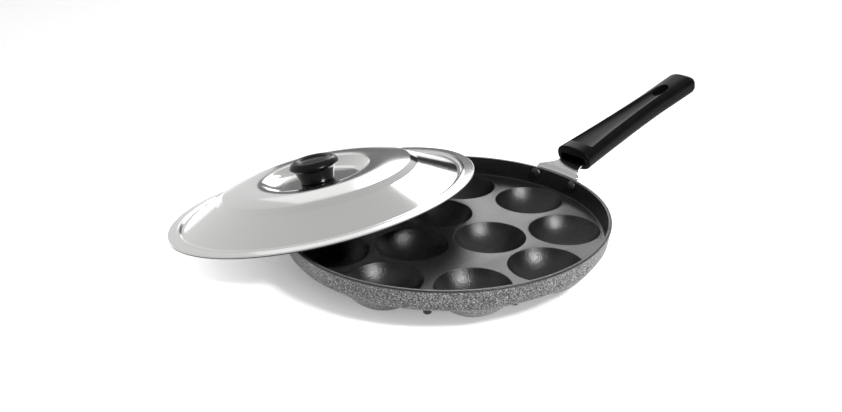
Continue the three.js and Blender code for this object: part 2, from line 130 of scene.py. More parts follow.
# Lid, with its place beside the pan
LID_RADIUS = 117.6
LID_SHEET = 0.7
LID_EDGE_DROP = 1.3
LID_FLANGE_WIDTH = 8.8
LID_BEAD_HEIGHT = 0.7
LID_GROOVE_WIDTH = 2.6
LID_GROOVE_FLOOR = 1.4
LID_STEP_DEPTH = 0.4
LID_CREASE_RADIUS = 77.3
LID_CREASE_HEIGHT = 12.6
LID_CONE_SWELL = -0.12
LID_BAND_WIDTH = 5.3
LID_BAND_RISE = 3.9
LID_SHOULDER_CURVE = 1.7
LID_CREST_RADIUS = 51
LID_CREST_HEIGHT = 19.3
LID_BROW_FALL = 0.55
LID_RECESS_TOP_RADIUS = 41.6
LID_RECESS_RADIUS = 26.6
LID_RECESS_HEIGHT = 12.4
LID_OFFSET = 107
LID_BEARING = 111
LID_TILT = 11.993
LID_CENTRE_HEIGHT = 25.73

# Knob
KNOB_TOP_RADIUS = 19
KNOB_NECK_RADIUS = 13
KNOB_BASE_RADIUS = 13
KNOB_HEIGHT = 16.6
KNOB_BORE_DEPTH = 6
SCREW_RADIUS = 2

RIM_HEIGHT = PLATE_DEPTH + CAVITY_DEPTH + CAVITY_WALL + FOOT_DROP
PLATE_HEIGHT = RIM_HEIGHT - PLATE_DEPTH
WEB_HEIGHT = PLATE_HEIGHT - PLATE_THICKNESS

dish_low, dish_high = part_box("pan_body")
PAN_AXIS = Vector(((dish_low.x + dish_high.x) / 2, (dish_low.y + dish_high.y) / 2, 0)) / MM


# Colours and nodes

def colour(code):
    """An sRGB hex value as linear RGBA."""
    channels = [int(code[i:i + 2], 16) / 255 for i in (1, 3, 5)]
    return [c / 12.92 if c <= 0.04045 else ((c + 0.055) / 1.055) ** 2.4 for c in channels] + [1.0]


def put(tree, kind, inputs=(), stops=(), **settings):
    """Adds a node with its settings. Inputs are values, or other nodes' outputs to link.

    Stops are the (position, hex) pairs of a colour ramp.
    """
    made = tree.nodes.new(kind)
    for name, value in settings.items():
        setattr(made, name, value)
    for name, value in dict(inputs).items():
        if isinstance(value, bpy.types.NodeSocket):
            tree.links.new(value, made.inputs[name])
        else:
            made.inputs[name].default_value = value
    if stops:
        bar = made.color_ramp.elements
        while len(bar) < len(stops):
            bar.new(0.5)
        for element, (position, code) in zip(bar, stops):
            element.position = position
            element.color = colour(code)
    return made


def start_material(name):
    """A new material, its node tree and its shader."""
    material = bpy.data.materials.new(name)
    material.use_nodes = True
    tree = material.node_tree
    return material, tree, tree.nodes["Principled BSDF"]


def per_mm(size):
    """Texture scale for a pattern of this size in millimetres, on coordinates in metres."""
    return 1 / (size * MM)


def nonstick_coating():
    """Sprayed and baked PTFE: near black and half matt, with fine mica that glints in its highlights."""
    material, tree, shader = start_material("nonstick_coating")
    place = put(tree, "ShaderNodeTexCoord").outputs["Object"]
    # Mica flakes are a tenth of a millimetre; they are drawn at 0.8 mm so that they show.
    flakes = put(tree, "ShaderNodeTexVoronoi", {"Vector": place, "Scale": per_mm(0.8)})
    tint = put(tree, "ShaderNodeValToRGB", {"Fac": flakes.outputs["Color"]},
               stops=[(0.0, "#0f0f0f"), (0.75, "#151515"), (0.95, "#272727")])
    tree.links.new(tint.outputs["Color"], shader.inputs["Base Color"])
    mist = put(tree, "ShaderNodeTexNoise", {"Vector": place, "Scale": per_mm(14), "Detail": 3.0})
    rough = put(tree, "ShaderNodeMapRange", {"Value": mist.outputs["Fac"], "To Min": 0.27, "To Max": 0.33})
    tree.links.new(rough.outputs["Result"], shader.inputs["Roughness"])
    # The spray dries to a fine grain, which spreads the highlights in the cavities.
    grain = put(tree, "ShaderNodeTexNoise", {"Vector": place, "Scale": per_mm(0.72), "Detail": 1.0})
    bump = put(tree, "ShaderNodeBump",
               {"Height": grain.outputs["Fac"], "Strength": 0.6, "Distance": 0.00033})
    tree.links.new(bump.outputs["Normal"], shader.inputs["Normal"])
    shader.inputs["IOR"].default_value = 1.5
    return material


def hammertone_paint():
    """Sprayed hammertone enamel: grey aluminium flake drawn into dark-edged cells a millimetre across."""
    material, tree, shader = start_material("hammertone_paint")
    place = put(tree, "ShaderNodeTexCoord").outputs["Object"]
    clouds = put(tree, "ShaderNodeTexNoise",
                 {"Vector": place, "Scale": per_mm(1.0), "Detail": 2.0, "Roughness": 0.6})
    tint = put(tree, "ShaderNodeValToRGB", {"Fac": clouds.outputs["Fac"]},
               stops=[(0.36, "#292929"), (0.47, "#4e4e4e"), (0.55, "#6e6e6e"), (0.66, "#a2a2a2")])
    tree.links.new(tint.outputs["Color"], shader.inputs["Base Color"])
    bump = put(tree, "ShaderNodeBump",
               {"Height": clouds.outputs["Fac"], "Strength": 0.4, "Distance": 0.0003})
    tree.links.new(bump.outputs["Normal"], shader.inputs["Normal"])
    shader.inputs["Roughness"].default_value = 0.42
    shader.inputs["Metallic"].default_value = 0.3
    return material


def polished_stainless():
    """Spun stainless sheet, buffed to a mirror: clear reflections, a little hazier in patches."""
    material, tree, shader = start_material("polished_stainless")
    place = put(tree, "ShaderNodeTexCoord").outputs["Object"]
    smear = put(tree, "ShaderNodeTexNoise", {"Vector": place, "Scale": per_mm(35), "Detail": 3.0})
    rough = put(tree, "ShaderNodeMapRange", {"Value": smear.outputs["Fac"], "To Min": 0.08, "To Max": 0.14})
    tree.links.new(rough.outputs["Result"], shader.inputs["Roughness"])
    shader.inputs["Base Color"].default_value = colour("#e6e6e5")
    shader.inputs["Metallic"].default_value = 1.0
    return material


def rolled_aluminium():
    """Pressed from bright rolled sheet: a soft sheen with faint lines along the rolling."""
    material, tree, shader = start_material("rolled_aluminium")
    place = put(tree, "ShaderNodeTexCoord").outputs["Object"]
    drawn_out = put(tree, "ShaderNodeMapping", {"Vector": place, "Scale": (0.06, 1.0, 1.0)})
    lines = put(tree, "ShaderNodeTexNoise",
                {"Vector": drawn_out.outputs["Vector"], "Scale": per_mm(1.6), "Detail": 3.0})
    rough = put(tree, "ShaderNodeMapRange", {"Value": lines.outputs["Fac"], "To Min": 0.05, "To Max": 0.2})
    tree.links.new(rough.outputs["Result"], shader.inputs["Roughness"])
    shader.inputs["Base Color"].default_value = colour("#d0d0d0")
    shader.inputs["Metallic"].default_value = 1.0
    return material


def moulded_phenolic(name, roughness, gloss):
    """Compression-moulded phenolic: deep black, with the slight unevenness of the mould's polish."""
    material, tree, shader = start_material(name)
    place = put(tree, "ShaderNodeTexCoord").outputs["Object"]
    flow = put(tree, "ShaderNodeTexNoise", {"Vector": place, "Scale": per_mm(9), "Detail": 4.0})
    rough = put(tree, "ShaderNodeMapRange",
                {"Value": flow.outputs["Fac"], "To Min": roughness - 0.05, "To Max": roughness + 0.06})
    tree.links.new(rough.outputs["Result"], shader.inputs["Roughness"])
    tint = put(tree, "ShaderNodeValToRGB", {"Fac": flow.outputs["Fac"]},
               stops=[(0.3, "#060606"), (0.7, "#0a0a0a")])
    tree.links.new(tint.outputs["Color"], shader.inputs["Base Color"])
    grain = put(tree, "ShaderNodeTexNoise", {"Vector": place, "Scale": per_mm(1.1), "Detail": 2.0})
    bump = put(tree, "ShaderNodeBump",
               {"Height": grain.outputs["Fac"], "Strength": 0.06, "Distance": 0.0002})
    tree.links.new(bump.outputs["Normal"], shader.inputs["Normal"])
    shader.inputs["IOR"].default_value = gloss
    return material


def small_metal(name, code, roughness):
    """Turned, plated or cut metal: a soft sheen that varies a little over the piece."""
    material, tree, shader = start_material(name)
    place = put(tree, "ShaderNodeTexCoord").outputs["Object"]
    cloud = put(tree, "ShaderNodeTexNoise", {"Vector": place, "Scale": per_mm(2.5), "Detail": 3.0})
    rough = put(tree, "ShaderNodeMapRange",
                {"Value": cloud.outputs["Fac"], "To Min": roughness - 0.08, "To Max": roughness + 0.1})
    tree.links.new(rough.outputs["Result"], shader.inputs["Roughness"])
    shader.inputs["Base Color"].default_value = colour(code)
    shader.inputs["Metallic"].default_value = 1.0
    return material


coating = nonstick_coating()
# Rivet heads dulled to a dark grey
rivet_grey = small_metal("dulled_aluminium", "#505050", 0.4)
hammertone = hammertone_paint()
stainless = polished_stainless()
# The lid's sheared edge: a cut finish duller than the face, painted darker still as shade, which draws a dark
# line under the bright flange
shaded_cut_edge = small_metal("sheared_stainless_painted_shade", "#3c3c3c", 0.45)
bright_sheet = rolled_aluminium()
# The handle has a satin surface and the knob a glossy one.
handle_phenolic = moulded_phenolic("satin_phenolic", 0.42, 1.17)
knob_phenolic = moulded_phenolic("glossy_phenolic", 0.22, 1.3)
# Bluish white zinc on the screws, the washer and the rivets' tails, and yellow brass inserts
zinc_plate = small_metal("zinc_plated_steel", "#b9bbbd", 0.34)
brass = small_metal("turned_brass", "#b8954a", 0.32)


# Mesh building

def arc(centre_r, centre_z, radius, start, end, count):
    """Points of an arc as (r, z), angles in degrees."""
    angles = np.radians(np.linspace(start, end, count + 1))
    return [(centre_r + radius * math.cos(a), centre_z + radius * math.sin(a)) for a in angles]


def round_turn(steps):
    """Angles once round, evenly spaced."""
    return np.linspace(0, 2 * math.pi, steps, endpoint=False)


def round_corners(points, radii, count=5):
    """A polyline of (r, z) with its inner corners rounded to the given radii, within its legs."""
    share_of_leg = 0.49
    straight = math.radians(179)
    out = [points[0]]
    for index in range(1, len(points) - 1):
        before, here, after = (Vector(points[index + k]) for k in (-1, 0, 1))
        radius = radii[index - 1]
        first, second = (before - here), (after - here)
        turn = first.angle(second)
        if radius <= 0 or turn > straight:
            out.append(tuple(here))
            continue
        cut_back = min(radius / math.tan(turn / 2), first.length * share_of_leg, second.length * share_of_leg)
        start, end = here + first.normalized() * cut_back, here + second.normalized() * cut_back
        for step in range(count + 1):
            share = step / count
            bend = start * (1 - share) ** 2 + here * (2 * share * (1 - share)) + end * share ** 2
            out.append(tuple(bend))
    out.append(points[-1])
    return out


def smooth_through(points, per_span=6):
    """A Catmull-Rom curve through (r, z) points."""
    pts = [np.array(p, float) for p in points]
    pts = [2 * pts[0] - pts[1]] + pts + [2 * pts[-1] - pts[-2]]
    out = []
    for a, b, c, d in zip(pts, pts[1:], pts[2:], pts[3:]):
        for t in np.linspace(0, 1, per_span, endpoint=False):
            out.append(0.5 * (2 * b + (c - a) * t + (2 * a - 5 * b + 4 * c - d) * t ** 2
                              + (3 * b - a - 3 * c + d) * t ** 3))
    out.append(pts[-2])
    return [(max(float(p[0]), 0.0), float(p[1])) for p in out]


def smooth(mesh, sharp):
    """Smooth shading, with edges that turn by more than an angle in degrees left sharp."""
    mesh.shade_smooth()
    mesh.set_sharp_from_angle(angle=math.radians(sharp))


class Skin:
    """Vertices and faces of one piece in millimetres, with a material number for each face."""

    def __init__(self):
        self.points, self.faces, self.finish = [], [], []

    def grid(self, rows, finish=0, closed=True):
        """Rows of equal point lists, joined by quads. Closed rows run round."""
        base, width = len(self.points), len(rows[0])
        for row in rows:
            self.points.extend(row)
        for r in range(len(rows) - 1):
            for c in range(width if closed else width - 1):
                a, b = base + r * width + c, base + r * width + (c + 1) % width
                self.faces.append((a, b, b + width, a + width))
                self.finish.append(finish)

    def turn(self, profile, steps, finish=0, x=0.0, y=0.0):
        """A profile of (r, z) turned about an upright axis at (x, y)."""
        angles = round_turn(steps)
        rows = [[(x + r * math.cos(a), y + r * math.sin(a), z) for a in angles] for r, z in profile]
        self.grid(rows, finish)

    def build(self, name, materials, matrix=None, sharp=35):
        """The cleaned mesh as an object, placed by a matrix in millimetres."""
        mesh = bpy.data.meshes.new(name)
        mesh.from_pydata([tuple(p) for p in self.points], [], self.faces)
        for material in materials:
            mesh.materials.append(material)
        mesh.polygons.foreach_set("material_index", self.finish)
        work = bmesh.new()
        work.from_mesh(mesh)
        bmesh.ops.remove_doubles(work, verts=work.verts, dist=1e-4)
        bmesh.ops.dissolve_degenerate(work, edges=work.edges, dist=1e-5)
        bmesh.ops.recalc_face_normals(work, faces=work.faces)
        work.to_mesh(mesh)
        work.free()
        mesh.transform(Matrix.Scale(MM, 4) @ (matrix or Matrix.Identity(4)))
        smooth(mesh, sharp)
        obj = bpy.data.objects.new(name, mesh)
        bpy.context.scene.collection.objects.link(obj)
        return obj


def settle(obj):
    """Applies an object's modifiers to its mesh."""
    graph = bpy.context.evaluated_depsgraph_get()
    mesh = bpy.data.meshes.new_from_object(obj.evaluated_get(graph))
    obj.modifiers.clear()
    obj.data = mesh


def dress(obj, body, slot_name, *nodes):
    """Puts a finished piece in the place of its CAD nodes."""
    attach(obj, body)
    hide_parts(*nodes)


# Dish

def ring_places(count, radius, first):
    """Places evenly round a ring, from a first bearing in degrees."""
    angles = np.radians(first + np.arange(count) * 360 / count)
    return [(radius * math.cos(a), radius * math.sin(a)) for a in angles]


CAVITIES = (ring_places(OUTER_CAVITIES, OUTER_RING_RADIUS, 0)
            + ring_places(INNER_CAVITIES, INNER_RING_RADIUS, INNER_RING_FIRST))
FEET = ring_places(OUTER_CAVITIES, OUTER_RING_RADIUS, FOOT_FIRST)
BOWL_RADIUS = (CAVITY_RADIUS ** 2 + CAVITY_DEPTH ** 2) / (2 * CAVITY_DEPTH)
BOWL_CENTRE = PLATE_HEIGHT + BOWL_RADIUS - CAVITY_DEPTH
DISH_STEPS = 288
CAVITY_STEPS = 96
COATED, PAINTED = 0, 1


def outer_wall(height):
    """Radius of the drafted wall's outside at a height."""
    return RIM_RADIUS - WALL_DRAFT * (RIM_HEIGHT - height) / PLATE_DEPTH


def smooth_max(a, b, blend):
    """The larger of two fields, rounded over where they are within a blend of each other."""
    share = np.clip(blend - np.abs(a - b), 0, None) / blend
    return np.maximum(a, b) + share ** 2 * blend / 4


def cavity_profile():
    """From the plate over a rounded lip and down a sphere to the bottom."""
    rise = BOWL_CENTRE - PLATE_HEIGHT
    lip_r = math.sqrt((BOWL_RADIUS + CAVITY_LIP) ** 2 - (rise + CAVITY_LIP) ** 2)
    touch = math.degrees(math.atan2(-(rise + CAVITY_LIP), lip_r))
    lip = arc(lip_r, PLATE_HEIGHT - CAVITY_LIP, CAVITY_LIP, 90, 180 + touch, 6)
    bowl = arc(0, BOWL_CENTRE, BOWL_RADIUS, touch, -90, 18)
    return lip + bowl[1:-1] + [(0.0, bowl[-1][1])]


def dish_inside(skin):
    """Rim, inner wall, plate with its openings, and the cavities."""
    foot = outer_wall(PLATE_HEIGHT) - RIM_WALL
    lip = round_corners([
        (RIM_RADIUS, RIM_HEIGHT - RIM_LIP),
        (RIM_RADIUS, RIM_HEIGHT),
        (RIM_RADIUS - RIM_WALL, RIM_HEIGHT),
        (foot + 0.9, PLATE_HEIGHT + COVE_HEIGHT),
    ], [RIM_ROUNDING, RIM_ROUNDING])
    cove = round_corners([
        lip[-1],
        (foot + 0.75, PLATE_HEIGHT + 0.35),
        (foot - 0.7, PLATE_HEIGHT),
    ], [COVE_ROUNDING], 6)
    wall = lip + cove[1:]
    skin.turn(wall, DISH_STEPS, COATED)
    cup = cavity_profile()
    for x, y in CAVITIES:
        skin.turn(cup, CAVITY_STEPS, COATED, x, y)
    edges = [(0, 0, wall[-1][0], DISH_STEPS)]
    edges += [(x, y, cup[0][0], CAVITY_STEPS) for x, y in CAVITIES]
    loops = []
    for x, y, radius, steps in edges:
        loops.append([Vector((x + radius * math.cos(a), y + radius * math.sin(a), PLATE_HEIGHT))
                      for a in round_turn(steps)])
    start = len(skin.points)
    skin.points.extend(point for loop in loops for point in loop)
    for triangle in tessellate_polygon(loops):
        skin.faces.append(tuple(start + corner for corner in triangle))
        skin.finish.append(COATED)


def dish_outside(skin):
    """Outer wall, rounded corner and web, swelled out over the cavities, and the feet."""
    corner_r = outer_wall(WEB_HEIGHT) - CORNER_RADIUS
    corner_top = WEB_HEIGHT + CORNER_RADIUS
    wall = [(outer_wall(z), z) for z in np.linspace(RIM_HEIGHT - RIM_LIP, corner_top, 12)]
    wall[0] = (RIM_RADIUS, RIM_HEIGHT - RIM_LIP)
    corner = arc(corner_r, corner_top, CORNER_RADIUS, CORNER_START, -90, 14)
    web = [(r, WEB_HEIGHT) for r in np.linspace(corner_r, 0, 84)][1:]
    profile = wall + corner + web
    out = [(1.0, 0.0)] * len(wall)
    out += [(math.cos(a), math.sin(a)) for a in np.radians(np.linspace(CORNER_START, -90, 15))]
    out += [(0.0, -1.0)] * len(web)
    angles = round_turn(DISH_STEPS)
    r, z = np.array(profile).T
    away = np.array(out)
    around = np.stack([np.cos(angles), np.sin(angles)], 1)
    base = np.zeros((len(r), DISH_STEPS, 3))
    base[..., :2] = r[:, None, None] * around
    base[..., 2] = z[:, None]
    heading = np.zeros_like(base)
    heading[..., :2] = away[:, 0, None, None] * around
    heading[..., 2] = away[:, 1, None]
    swell = np.zeros(base.shape[:2])
    reach = BOWL_RADIUS + CAVITY_WALL
    for x, y in CAVITIES:
        from_centre = base - np.array([x, y, BOWL_CENTRE])
        along = (from_centre * heading).sum(-1)
        depth = (from_centre ** 2).sum(-1) - reach ** 2
        inside = -along + np.sqrt(np.clip(along ** 2 - depth, 0, None))
        gap = reach - np.sqrt((from_centre ** 2).sum(-1))
        swell = smooth_max(swell, np.where(depth < 0, inside, gap), BULGE_BLEND)
    swell[z > corner_top + BULGE_REACH] = 0
    points = base + heading * swell[..., None]
    skin.grid([[tuple(p) for p in row] for row in points], PAINTED)
    foot = round_corners([
        (0, 0),
        (FOOT_RADIUS, 0),
        (FOOT_RADIUS + FOOT_FLARE, WEB_HEIGHT + 1),
    ], [FOOT_ROUNDING], 3)
    for x, y in FEET:
        skin.turn(foot, 24, PAINTED, x, y)


dish_skin = Skin()
dish_inside(dish_skin)
dish_outside(dish_skin)
dish = dish_skin.build("dish", [coating, hammertone], Matrix.Translation(PAN_AXIS), sharp=50)
dress(dish, "pan", "cast_aluminium", "pan_body")


# Rivets

WALL_LEAN = math.atan(WALL_DRAFT / PLATE_DEPTH)
RIVET_STEPS = 40


def rivet(name, bearing, node):
    """A dull domed head inside the wall and a plated, closed tail outside the bracket."""
    head, rise = RIVET_HEAD_RADIUS, RIVET_HEAD_HEIGHT
    head_seat, tail_seat = -RIM_WALL - GAP, BRACKET_THICKNESS + 2 * GAP
    dome = smooth_through([
        (0, head_seat - rise),
        (head * 0.45, head_seat - rise * 0.92),
        (head * 0.82, head_seat - rise * 0.6),
        (head, head_seat - 0.3),
        (head, head_seat),
    ])
    tail = smooth_through([
        (head * 0.95, tail_seat),
        (head * 0.8, tail_seat + rise * 0.6),
        (head * 0.4, tail_seat + rise * 0.9),
        (0, tail_seat + rise * 0.95),
    ])
    skin = Skin()
    skin.turn(dome + [(RIVET_RADIUS, head_seat)], RIVET_STEPS, 0)
    skin.turn([(RIVET_RADIUS, head_seat), (RIVET_RADIUS, tail_seat)] + tail, RIVET_STEPS, 1)
    height = RIM_HEIGHT - RIVET_BELOW_RIM
    place = Matrix.Translation(PAN_AXIS) @ Matrix.Rotation(math.radians(bearing), 4, "Z")
    place = place @ Matrix.Translation((outer_wall(height), 0, height))
    place = place @ Matrix.Rotation(math.pi / 2 + WALL_LEAN, 4, "Y")
    obj = skin.build(name, [rivet_grey, zinc_plate], place)
    dress(obj, "pan", "rivet_metal", node)


rivet("rivet_on_left", RIVET_BEARING, "left_rivet")
rivet("rivet_on_right", -RIVET_BEARING, "right_rivet")


# Bracket

HANDLE_SLOPE = math.radians(HANDLE_RISE)
HANDLE_FRONT = RIM_RADIUS + HANDLE_CLEAR_OF_RIM
PLATE_TOP = RIM_HEIGHT + BRACKET_ABOVE_RIM
BEND_R = outer_wall(PLATE_TOP) + GAP + BRACKET_THICKNESS + BEND_RADIUS * math.cos(WALL_LEAN)
BEND_Z = PLATE_TOP - BEND_RADIUS * math.sin(WALL_LEAN)


def tang_height(radial):
    """Height of the tang's middle at a distance from the pan's axis."""
    bend = BEND_RADIUS + BRACKET_THICKNESS / 2
    return BEND_Z + bend / math.cos(HANDLE_SLOPE) + (radial - BEND_R) * math.tan(HANDLE_SLOPE)


def bezier(p0, p1, p2, p3, count):
    """Points along a cubic curve."""
    out = []
    for t in np.linspace(0, 1, count + 1):
        out.append(tuple((1 - t) ** 3 * np.array(p0) + 3 * t * (1 - t) ** 2 * np.array(p1)
                         + 3 * t * t * (1 - t) * np.array(p2) + t ** 3 * np.array(p3)))
    return out


def bracket():
    """One bent strip: it follows the wall, turns out over the rim and narrows into the handle."""
    low = RIM_HEIGHT - BRACKET_BELOW_RIM
    middle = BRACKET_THICKNESS / 2
    path = [(outer_wall(z) + GAP + middle, z) for z in np.linspace(low, PLATE_TOP, 8)][:-1]
    path += arc(BEND_R, BEND_Z, BEND_RADIUS + middle, 180 - math.degrees(WALL_LEAN), 90 + HANDLE_RISE, 10)
    tang_end = HANDLE_FRONT + TANG_IN_HANDLE - TANG_END_ROOM
    path += [(r, tang_height(r)) for r in np.linspace(path[-1][0], tang_end, 40)][1:]
    wide = RIM_RADIUS * math.sin(math.radians(BRACKET_BEARING / 2))
    narrow = TANG_WIDTH / 2
    neck = bezier((RIM_RADIUS, wide), (RIM_RADIUS + 6, wide),
                  (HANDLE_FRONT - 10, narrow), (HANDLE_FRONT - 2, narrow), 24)
    reach_r, reach_w = [p[0] for p in neck], [p[1] for p in neck]
    rows = []
    for r, z in path:
        half = float(np.interp(r, reach_r, reach_w))
        across = np.linspace(-half, half, 25)
        rows.append([(math.sqrt(r * r - y * y), y, z) for y in across])
    skin = Skin()
    skin.grid(rows, 0, closed=False)
    obj = skin.build("riveted_bracket", [bright_sheet], Matrix.Translation(PAN_AXIS))
    thick = obj.modifiers.new("sheet", "SOLIDIFY")
    thick.thickness = BRACKET_THICKNESS * MM
    thick.offset = 0
    edge = obj.modifiers.new("edge", "BEVEL")
    edge.width = BRACKET_EDGE * MM
    edge.segments = 3
    edge.angle_limit = math.radians(50)
    settle(obj)
    smooth(obj.data, 40)
    dress(obj, "pan", "bracket_sheet", "handle_bracket")


bracket()


# Handle, in its own frame: the origin is the middle of the front face and +X runs along it.

HANDLE_MIDDLE = tang_height(HANDLE_FRONT) + HANDLE_ABOVE_TANG / math.cos(HANDLE_SLOPE)
HANDLE_PLACE = (Matrix.Translation(PAN_AXIS)
                @ Matrix.Translation((HANDLE_FRONT, 0, HANDLE_MIDDLE))
                @ Matrix.Rotation(-HANDLE_SLOPE, 4, "Y"))


def handle_width(x):
    """Width at a distance along: it narrows to a waist and widens again to the end."""
    waist = HANDLE_LENGTH * HANDLE_WAIST_AT
    slim = HANDLE_WAIST_WIDTH
    if x < waist:
        return slim + (HANDLE_FRONT_WIDTH - slim) * (1 - x / waist) ** HANDLE_WAIST_CURVE
    return slim + (HANDLE_END_WIDTH - slim) * (x - waist) / (HANDLE_LENGTH - waist)


def handle_height(x):
    """Height at a distance along."""
    return HANDLE_FRONT_HEIGHT + (HANDLE_END_HEIGHT - HANDLE_FRONT_HEIGHT) * x / HANDLE_LENGTH


def handle_section(x, width, height, count=160, power=None):
    """A rounded section across X, squarer towards the end of the handle."""
    power = power or FRONT_SQUARENESS + END_SQUARENESS_GAIN * min(x / HANDLE_LENGTH, 1)
    turn = round_turn(count)
    across = np.sign(np.cos(turn)) * np.abs(np.cos(turn)) ** (2 / power) * width / 2
    upward = np.sign(np.sin(turn)) * np.abs(np.sin(turn)) ** (2 / power) * height / 2
    return [(x, float(a), float(u)) for a, u in zip(across, upward)]


def closed_form(name, rows):
    """A form in the handle's frame, skinned over its sections and closed at both ends."""
    skin = Skin()
    skin.grid(rows)
    for row, base in ((rows[0], 0), (rows[-1], (len(rows) - 1) * len(rows[0]))):
        skin.faces.append(tuple(range(base, base + len(row))))
        skin.finish.append(0)
    return skin.build(name, [handle_phenolic], HANDLE_PLACE)


def cut(obj, tool):
    """Cuts a tool's form out of an object and removes the tool."""
    saw = obj.modifiers.new("cut", "BOOLEAN")
    saw.operation = "DIFFERENCE"
    saw.solver = "EXACT"
    saw.object = tool
    settle(obj)
    bpy.data.objects.remove(tool)


def handle_rows():
    """Sections from the rounded front edge along the grip to the rounded nose."""
    edge = HANDLE_FRONT_EDGE
    rows = []
    for a in np.radians(np.linspace(0, 90, 7)):
        pull = 2 * edge * (1 - math.sin(a))
        x = edge * (1 - math.cos(a))
        rows.append(handle_section(x, handle_width(x) - pull, handle_height(x) - pull))
    nose = HANDLE_LENGTH * HANDLE_NOSE
    for x in np.linspace(edge, HANDLE_LENGTH - nose, 110)[1:]:
        rows.append(handle_section(x, handle_width(x), handle_height(x)))
    for a in np.radians(np.linspace(0, 88, 16))[1:]:
        pull = nose * (1 - math.cos(a))
        x = HANDLE_LENGTH - 0.2 - nose + nose * math.sin(a)
        width, height = HANDLE_END_WIDTH - 1.3 * pull, HANDLE_END_HEIGHT - 0.8 - 1.2 * pull
        rows.append(handle_section(x, width, height))
    return rows


def scoop_rows():
    """Sections of the shallow hollow along the top, which narrows towards the hanging hole."""
    rows = []
    for share in [0, 0.004, 0.012] + list(np.linspace(0.03, 0.93, 40)) + [0.955, 0.975, 0.99, 1]:
        x = SCOOP_START + share * (SCOOP_END - SCOOP_START)
        ends = min(1.0, 0.55 + 40 * share, 0.55 + math.sqrt(max(0, 1 - share)) * 2.2)
        width = (0.8 * handle_width(x) * (1 - share) + 1.3 * HANG_HOLE_WIDTH * share) * ends
        depth = SCOOP_DEPTH * (1 - 0.3 * share) * ends
        section = handle_section(x, width, 2 * depth, 96, FRONT_SQUARENESS)
        rows.append([(a, b, c + handle_height(x) / 2) for a, b, c in section])
    return rows


def handle():
    """The grip with its scoop, hanging hole, socket for the tang, wider mouth and screw sink."""
    obj = closed_form("phenolic_handle", handle_rows())
    cut(obj, closed_form("scoop", scoop_rows()))

    reach, half = (HANG_HOLE_LENGTH - HANG_HOLE_WIDTH) / 2, HANG_HOLE_WIDTH / 2
    outline = [(HANG_HOLE_AT + math.copysign(reach, math.cos(a)) + half * math.cos(a), half * math.sin(a))
               for a in np.linspace(0.01, 2 * math.pi + 0.01, 48, endpoint=False)]
    cut(obj, closed_form("hole", [[(x, y, z) for x, y in outline] for z in (-PAST_HANDLE, PAST_HANDLE)]))

    room = BRACKET_THICKNESS + 2 * GAP + SOCKET_ROOM
    socket = handle_section(0, TANG_WIDTH + 2 * GAP, room, 64, SOCKET_SQUARENESS)
    cut(obj, closed_form("socket", [[(x, y, z - HANDLE_ABOVE_TANG) for _, y, z in socket]
                                    for x in (-5, TANG_IN_HANDLE + 1)]))

    mouth = handle_section(0, TANG_WIDTH + MOUTH_ROOM, MOUTH_HEIGHT, 64, MOUTH_SQUARENESS)
    cut(obj, closed_form("entry", [[(x, y, z - MOUTH_BELOW_MIDDLE) for _, y, z in mouth]
                                   for x in (-5, MOUTH_DEPTH)]))

    sink = [(SINK_AT + SINK_RADIUS * math.cos(a), SINK_RADIUS * math.sin(a)) for a in round_turn(40)]
    seat = -handle_height(SINK_AT) / 2 + SINK_DEPTH
    cut(obj, closed_form("sink", [[(x, y, z) for x, y in sink] for z in (-PAST_HANDLE, seat)]))

    smooth(obj.data, 30)
    dress(obj, "pan", "phenolic", "handle")


handle()


# Lid and knob, about the lid's own axis. Height 0 is the flange.

LEAN = math.radians(LID_BEARING)
LID_CENTRE = (LID_OFFSET * math.cos(LEAN), LID_OFFSET * math.sin(LEAN), LID_CENTRE_HEIGHT)
LID_PLACE = (Matrix.Translation(PAN_AXIS)
             @ Matrix.Translation(LID_CENTRE)
             @ Matrix.Rotation(math.radians(LID_TILT), 4, Vector((-math.sin(LEAN), math.cos(LEAN), 0))))
LID_STEPS = 256
KNOB_STEPS = 128


